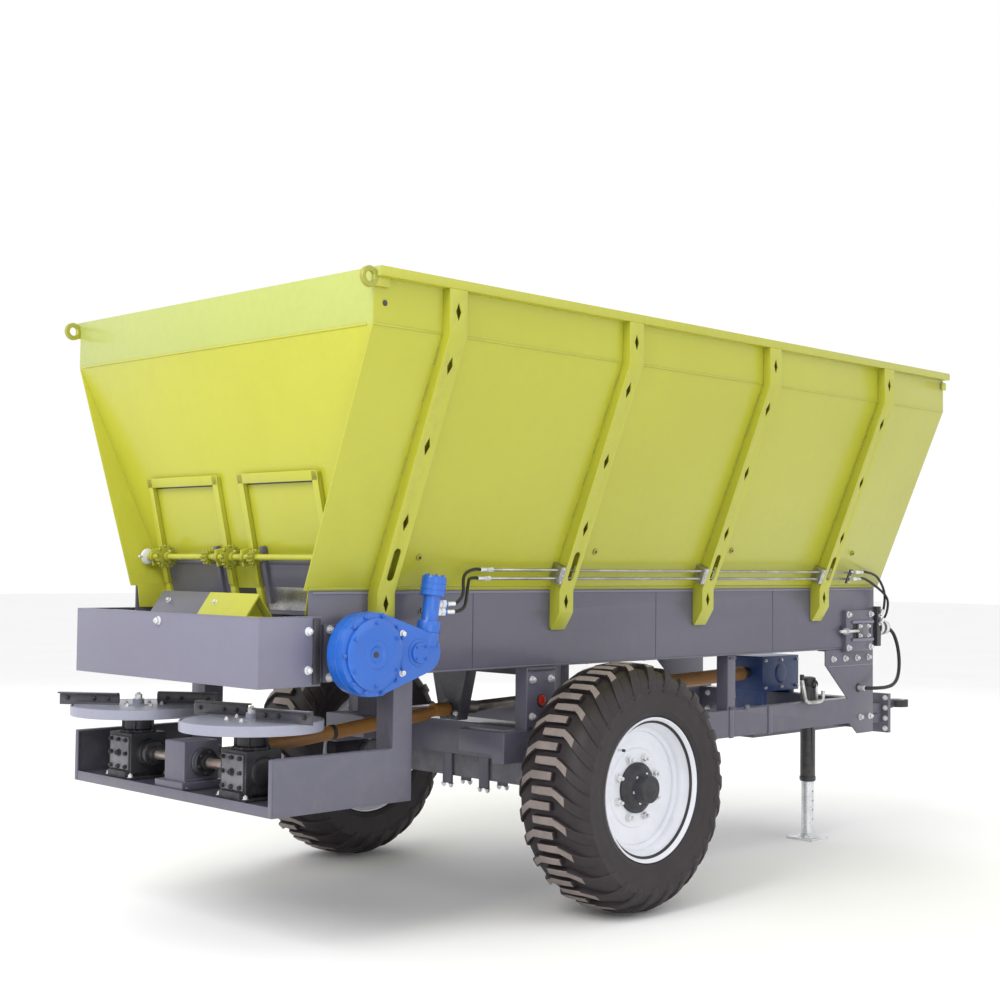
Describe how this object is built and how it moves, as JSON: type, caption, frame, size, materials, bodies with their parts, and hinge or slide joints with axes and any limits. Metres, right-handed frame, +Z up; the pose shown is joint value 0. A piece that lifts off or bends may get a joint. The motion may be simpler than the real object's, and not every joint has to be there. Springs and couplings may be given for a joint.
{
  "type": "trailed manure spreader",
  "caption": "Two-wheeled towed manure spreader: tapered ribbed hopper, floor conveyor, sliding rear gates, twin spinner discs, drive line, drawbar and parking jack.",
  "frame": {"origin": "middle of the whole machine's base, on the ground", "axes": "+X towards the tow eye, +Y to the machine's left, +Z up"},
  "size_m": [6.363, 2.424, 2.812],
  "materials": {
    "green_paint": "semi-gloss lime green paint",
    "grey_paint": "satin blue-grey paint",
    "dark_paint": "satin near-black paint",
    "blue_paint": "gloss bright blue paint",
    "white_paint": "gloss white paint",
    "tyre": "matt tyre rubber",
    "cast": "black painted casting",
    "steel": "bare machined and zinc plated steel",
    "disc_paint": "satin light grey paint, scuffed",
    "guard": "yellow guard tube",
    "hose": "black hydraulic hose"
  },
  "bodies": {
    "machine": {"axle_beam": "grey_paint", "axle_saddle": "grey_paint", "chassis_rail_left": "grey_paint", "chassis_rail_right": "grey_paint", "conveyor_drive_shaft": "steel", "conveyor_gearbox": "blue_paint", "conveyor_idler_shaft": "steel", "conveyor_loop": "steel", "conveyor_motor": "blue_paint", "cross_member_middle": "grey_paint", "drawbar": "grey_paint", "flow_divider": "green_paint", "front_gearbox": "blue_paint", "gate_guide_left": "green_paint", "gate_guide_right": "green_paint", "gate_shaft": "green_paint", "gearbox_centre": "cast", "gearbox_left": "cast", "gearbox_right": "cast", "hopper_front": "green_paint", "hopper_rear": "green_paint", "hopper_side_left": "green_paint", "hopper_side_right": "green_paint", "hose_front_lower": "hose", "hose_front_upper": "hose", "hose_motor_lower": "hose", "hose_motor_upper": "hose", "hose_supply": "hose", "jack_tube": "dark_paint", "line_shaft": "steel", "rear_apron": "grey_paint", "rear_drive_shaft": "guard", "rib_left_1": "green_paint", "rib_left_2": "green_paint", "rib_left_3": "green_paint", "rib_left_4": "green_paint", "rib_right_1": "green_paint", "rib_right_2": "green_paint", "rib_right_3": "green_paint", "rib_right_4": "green_paint", "shaft_hanger": "dark_paint", "side_pipes": "steel", "spreader_tray": "grey_paint", "tow_eye": "cast", "trough_floor": "grey_paint", "trough_side_left": "grey_paint", "trough_side_right": "grey_paint", "valve_block": "steel"},
    "wheel_right": {"tyre_right": "tyre", "rim_right": "white_paint", "hub_right": "cast"},
    "wheel_left": {"tyre_left": "tyre", "rim_left": "white_paint", "hub_left": "cast"},
    "spinner_right": {"disc_right": "disc_paint"},
    "spinner_left": {"disc_left": "disc_paint"},
    "gate_plate_right": {"gate_right": "grey_paint"},
    "gate_plate_left": {"gate_left": "grey_paint"},
    "jack_foot": {"jack_leg": "steel"}
  },
  "joints": [
    {"name": "wheel_right_spin", "type": "hinge", "parent": "machine", "child": "wheel_right", "pos_m": [-1.1265, -1.007, 0.58693], "axis": [0, 1, 0], "continuous": true},
    {"name": "wheel_left_spin", "type": "hinge", "parent": "machine", "child": "wheel_left", "pos_m": [-1.1265, 1.007, 0.58693], "axis": [0, 1, 0], "continuous": true},
    {"name": "spinner_right_turn", "type": "hinge", "parent": "machine", "child": "spinner_right", "pos_m": [-2.8815, -0.435, 0.962], "axis": [0, 0, 1], "continuous": true},
    {"name": "spinner_left_turn", "type": "hinge", "parent": "machine", "child": "spinner_left", "pos_m": [-2.8815, 0.435, 0.962], "axis": [0, 0, 1], "continuous": true},
    {"name": "gate_right_lift", "type": "slide", "parent": "machine", "child": "gate_plate_right", "axis": [-0.2183, 0, 0.9759], "range_m": [0, 0.28]},
    {"name": "gate_left_lift", "type": "slide", "parent": "machine", "child": "gate_plate_left", "axis": [-0.2183, 0, 0.9759], "range_m": [0, 0.28]},
    {"name": "jack_leg_slide", "type": "slide", "parent": "machine", "child": "jack_foot", "axis": [0, 0, 1], "range_m": [0, 0.3]}
  ],
  "couplings": [
    {"joint": "spinner_left_turn", "follows": "spinner_right_turn", "ratio": -1},
    {"joint": "gate_left_lift", "follows": "gate_right_lift", "ratio": 1}
  ]
}
